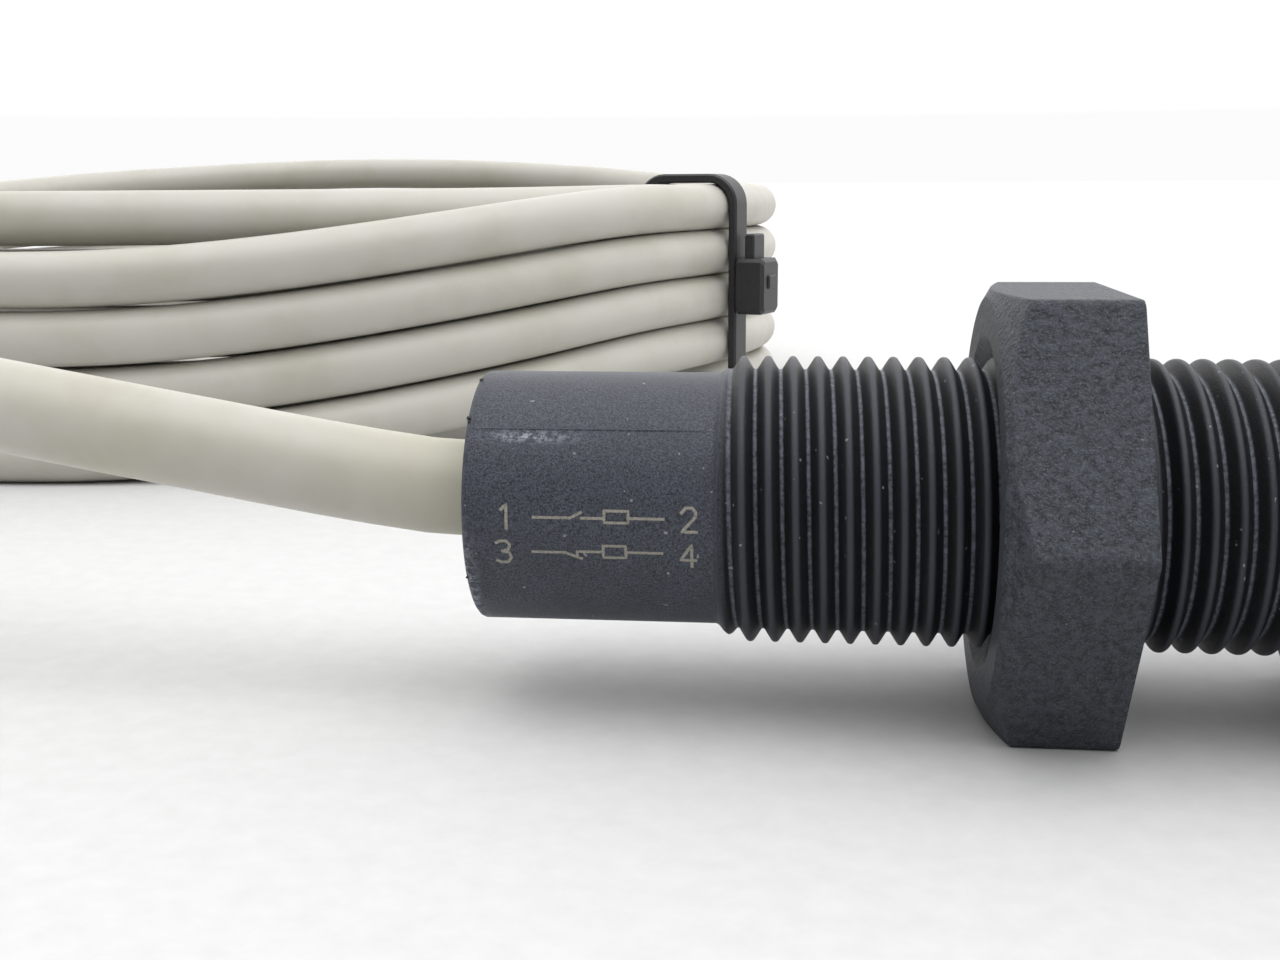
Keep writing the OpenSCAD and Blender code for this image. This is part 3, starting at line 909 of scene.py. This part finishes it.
def nut(name, body, nodes):
    """A hexagon nut with its left side chamfered, both sides countersunk and a helical thread."""
    low, high = box_mm(nodes[0])
    left, right = low.x, high.x
    across_flats = high.z - low.z
    angles = NUT_ANGLES
    outline = [hexagon_radius(a, across_flats, HEX_CORNER_R) for a in angles]
    face = (COUNTERSINK_R, NUT_FACE_R - 0.5, NUT_FACE_R - 0.04)
    rings = [ring(left, r, angles) for r in face]
    slope = math.tan(math.radians(30))
    chamfer = [(r - NUT_FACE_R) * slope for r in outline]
    for share in (0.03, 0.35, 0.7, 0.94):
        rings.append([on_barrel(left + c * share, a, NUT_FACE_R + (r - NUT_FACE_R) * share)
                      for a, r, c in zip(angles, outline, chamfer)])
    rings.append([on_barrel(left + c + 0.04, a, r) for a, r, c in zip(angles, outline, chamfer)])
    for share in (0.2, 0.4, 0.6, 0.8):
        rings.append([on_barrel(left + c + 0.1 + (right - left - c - 0.3) * share, a, r)
                      for a, r, c in zip(angles, outline, chamfer)])
    rings.append([on_barrel(right - 0.12, a, r) for a, r in zip(angles, outline)])
    rings.append([on_barrel(right - 0.035, a, r - 0.035) for a, r in zip(angles, outline)])
    rings.append([on_barrel(right, a, r - 0.12) for a, r in zip(angles, outline)])
    rings.append(ring(right, COUNTERSINK_R + 1.0, angles))
    rings.append(ring(right, COUNTERSINK_R, angles))
    shape = Shape()
    shape.rings(rings)

    def female(x, height):
        thread = ROOT_R + (CREST_R - ROOT_R) * height + NUT_CLEARANCE
        return max(thread, COUNTERSINK_R - min(x - left, right - x) * 1.15)

    threaded_skin(shape, angles, left, right, female)
    return place(shape.build(name, 21), body, NUT, nodes)


def flash(shape, x, angle, size, seed):
    """A speck of moulding flash: a small lump with an uneven surface."""
    dice = random.Random(seed)
    centre = Vector(on_barrel(x, math.radians(angle), PLAIN_R - size * 0.2))
    rings = []
    sides, layers = 10, 6
    for i in range(1, layers):
        wide, high = math.sin(math.pi * i / layers), math.cos(math.pi * i / layers)
        row = []
        for k in range(sides):
            way = Vector((wide * math.cos(TAU * k / sides), wide * math.sin(TAU * k / sides), high))
            row.append(centre + way * size * dice.uniform(0.75, 1.15))
        rings.append(row)
    shape.rings(rings)
    shape.cap(rings[0])
    shape.cap(rings[-1])


def rim_flash():
    """Four specks on the rear rim, from (position along the barrel, angle in degrees, size)."""
    specks = [(-20.93, 43, 0.10), (-20.90, 45, 0.07), (-20.86, 15, 0.09), (-20.95, 118, 0.05)]
    shape = Shape()
    for i, (x, angle, size) in enumerate(specks):
        flash(shape, x, angle, size, i)
    return place(shape.build("moulding_flash", 60), "sensor", TIE)


# ---------------------------------------------------------------- markings

MARK_R = PLAIN_R + 0.008


def stroke(shape, points, width):
    """A flat line on the barrel through points of (distance along it, angle in degrees from the top)."""
    flat = [Vector((x, math.radians(a) * PLAIN_R)) for x, a in points]
    fine = [flat[0]]
    for a, b in zip(flat, flat[1:]):
        count = max(1, math.ceil((b - a).length / 0.12))
        fine += [a + (b - a) * (k / count) for k in range(1, count + 1)]
    left, right = [], []
    for i, p in enumerate(fine):
        way = (fine[min(i + 1, len(fine) - 1)] - fine[max(i - 1, 0)]).normalized()
        side = Vector((-way.y, way.x)) * width / 2
        if i == 0:
            p = p - way * width / 2
        if i == len(fine) - 1:
            p = p + way * width / 2
        left.append(p + side)
        right.append(p - side)
    rows = [[on_barrel(p.x, p.y / PLAIN_R, MARK_R) for p in edge] for edge in (left, right)]
    shape.rings([list(pair) for pair in zip(*rows)], closed=False)


# Each figure as lines through points of (right, up), in a box 1 high
FIGURES = {
    "1": [[(0.12, 0.78), (0.34, 1.0), (0.34, 0.0)]],
    "2": [[(0.0, 0.80), (0.16, 1.0), (0.44, 1.0), (0.58, 0.82), (0.56, 0.62), (0.0, 0.0), (0.60, 0.0)]],
    "3": [[(0.0, 0.92), (0.16, 1.0), (0.42, 1.0), (0.56, 0.84), (0.50, 0.62), (0.26, 0.54)],
          [(0.26, 0.54), (0.52, 0.46), (0.60, 0.24), (0.46, 0.02), (0.18, 0.0), (0.0, 0.08)]],
    "4": [[(0.46, 0.0), (0.46, 1.0), (0.0, 0.30), (0.62, 0.30)]],
}


def figure(shape, digit, x, angle, height):
    """A terminal's number, its middle at x and angle."""
    for line in FIGURES[digit]:
        stroke(shape, [(x + (u - 0.3) * height, angle - (v - 0.5) * height / PLAIN_R * 180 / math.pi)
                       for u, v in line], 0.12)


def markings():
    """Circuit symbols of the two contacts and their resistors, with plain terminal numbers."""
    shape = Shape()
    thin = 0.11
    figure(shape, "1", -19.25, 87.6, 0.92)
    figure(shape, "2", -12.2, 87.8, 0.92)
    figure(shape, "3", -19.35, 103.8, 0.92)
    figure(shape, "4", -12.25, 103.9, 0.92)
    # Normally open contact and its resistor
    stroke(shape, [(-18.16, 87.8), (-16.74, 87.8), (-16.33, 85.4)], thin)
    stroke(shape, [(-16.30, 87.8), (-15.43, 87.8)], thin)
    stroke(shape, [(-15.43, 84.5), (-14.51, 84.5), (-14.51, 89.6), (-15.43, 89.6), (-15.43, 84.5)], thin)
    stroke(shape, [(-14.51, 87.6), (-13.18, 87.6)], thin)
    # Normally closed contact and its resistor
    stroke(shape, [(-18.22, 103.4), (-16.97, 103.4), (-16.34, 106.2)], thin)
    stroke(shape, [(-16.50, 105.4), (-16.50, 102.9), (-15.49, 102.9)], thin)
    stroke(shape, [(-15.49, 100.0), (-14.62, 100.0), (-14.62, 105.5), (-15.49, 105.5), (-15.49, 100.0)], thin)
    stroke(shape, [(-14.62, 102.9), (-13.24, 102.9)], thin)
    return place(shape.build("markings"), "sensor", MARKING)


camera()
coil_tie = tie()
core_pieces = [piece for colour in CORES for piece in core_end(colour)]
cable()
housing()
nut("rear_mounting_nut", "rear_nut_hexagon", ("rear_nut", "rear_nut_thread"))
nut("front_mounting_nut", "front_nut_hexagon", ("front_nut", "front_nut_thread"))
markings()
rim_flash()
for colour in CORE_PLACES:
    inner_wire(colour)
board_tracks()
finish_cad_nodes()

# ---------------------------------------------------------------- floor, light and world


def soft_light(name, at, size, watts, target=(0, 0, 0.008)):
    """A rectangular light, in metres, turned towards its target."""
    data = bpy.data.lights.new(name, "AREA")
    data.shape = "RECTANGLE"
    data.size, data.size_y = size
    data.energy = watts
    lamp = bpy.data.objects.new(name, data)
    lamp.location = at
    lamp.rotation_euler = (Vector(target) - Vector(at)).to_track_quat("-Z", "Y").to_euler()
    bpy.context.scene.collection.objects.link(lamp)


def studio():
    """A pale paper floor, a world that is brightest behind and above, and one soft light overhead."""
    floor_material, tree, shader, where = material("paper", (0.80, 0.80, 0.80), 0.8)
    fibre = noise(tree, where, 0.8, 5, 0.6)
    # Far away the paper runs out into the white of the studio
    away = tree.nodes.new("ShaderNodeVectorMath")
    away.operation = "LENGTH"
    tree.links.new(where, away.inputs[0])
    far = tree.nodes.new("ShaderNodeMapRange")
    far.interpolation_type = "SMOOTHSTEP"
    far.inputs["From Min"].default_value = 250
    far.inputs["From Max"].default_value = 1000
    tree.links.new(away.outputs["Value"], far.inputs["Value"])
    shader.inputs["Emission Color"].default_value = (0.97, 0.97, 0.97, 1)
    tree.links.new(far.outputs["Result"], shader.inputs["Emission Strength"])
    near_paper = ramp(tree, fibre, [(0.3, grey(0.58)), (0.7, grey(0.62))])
    paper = mix(tree, far.outputs["Result"], near_paper, grey(0))
    tree.links.new(paper, shader.inputs["Base Color"])
    mesh = bpy.data.meshes.new("floor")
    # In metres, unlike the rest
    half = 30
    corners = [(-half, -half, 0), (half, -half, 0), (half, half, 0), (-half, half, 0)]
    mesh.from_pydata(corners, [], [(0, 1, 2, 3)])
    floor = bpy.data.objects.new("floor", mesh)
    floor.data.materials.append(floor_material)
    bpy.context.scene.collection.objects.link(floor)
    world = bpy.data.worlds.new("studio")
    world.use_nodes = True
    tree = world.node_tree
    where = tree.nodes.new("ShaderNodeTexCoord").outputs["Generated"]
    facing = tree.nodes.new("ShaderNodeVectorMath")
    facing.operation = "DOT_PRODUCT"
    facing.inputs[1].default_value = Vector((0.20, 0.72, 0.66)).normalized()
    tree.links.new(where, facing.inputs[0])
    share = math_node(tree, "ADD", times(tree, facing.outputs["Value"], 0.5), 0.5)
    sky = ramp(tree, share, [(0.36, grey(0.12)), (0.52, grey(0.45)), (0.70, grey(0.97))])
    # A pale band all round the horizon, so that the paper meets white on every side
    parts = tree.nodes.new("ShaderNodeSeparateXYZ")
    tree.links.new(where, parts.inputs[0])
    level = math_node(tree, "ABSOLUTE", parts.outputs["Z"])
    band = ramp(tree, level, [(0.04, grey(1)), (0.08, grey(0))])
    tree.links.new(mix(tree, band, sky, grey(0.97)), tree.nodes["Background"].inputs["Color"])
    above_band = math_node(tree, "SUBTRACT", 1.0, band)
    strength = math_node(tree, "ADD", times(tree, above_band, 0.55), 1.0)
    tree.links.new(strength, tree.nodes["Background"].inputs["Strength"])
    bpy.context.scene.world = world
    soft_light("above", (0.1, -0.36, 1.40), (2.0, 1.5), 14.0)
    bpy.context.scene.view_settings.view_transform = "Standard"


studio()
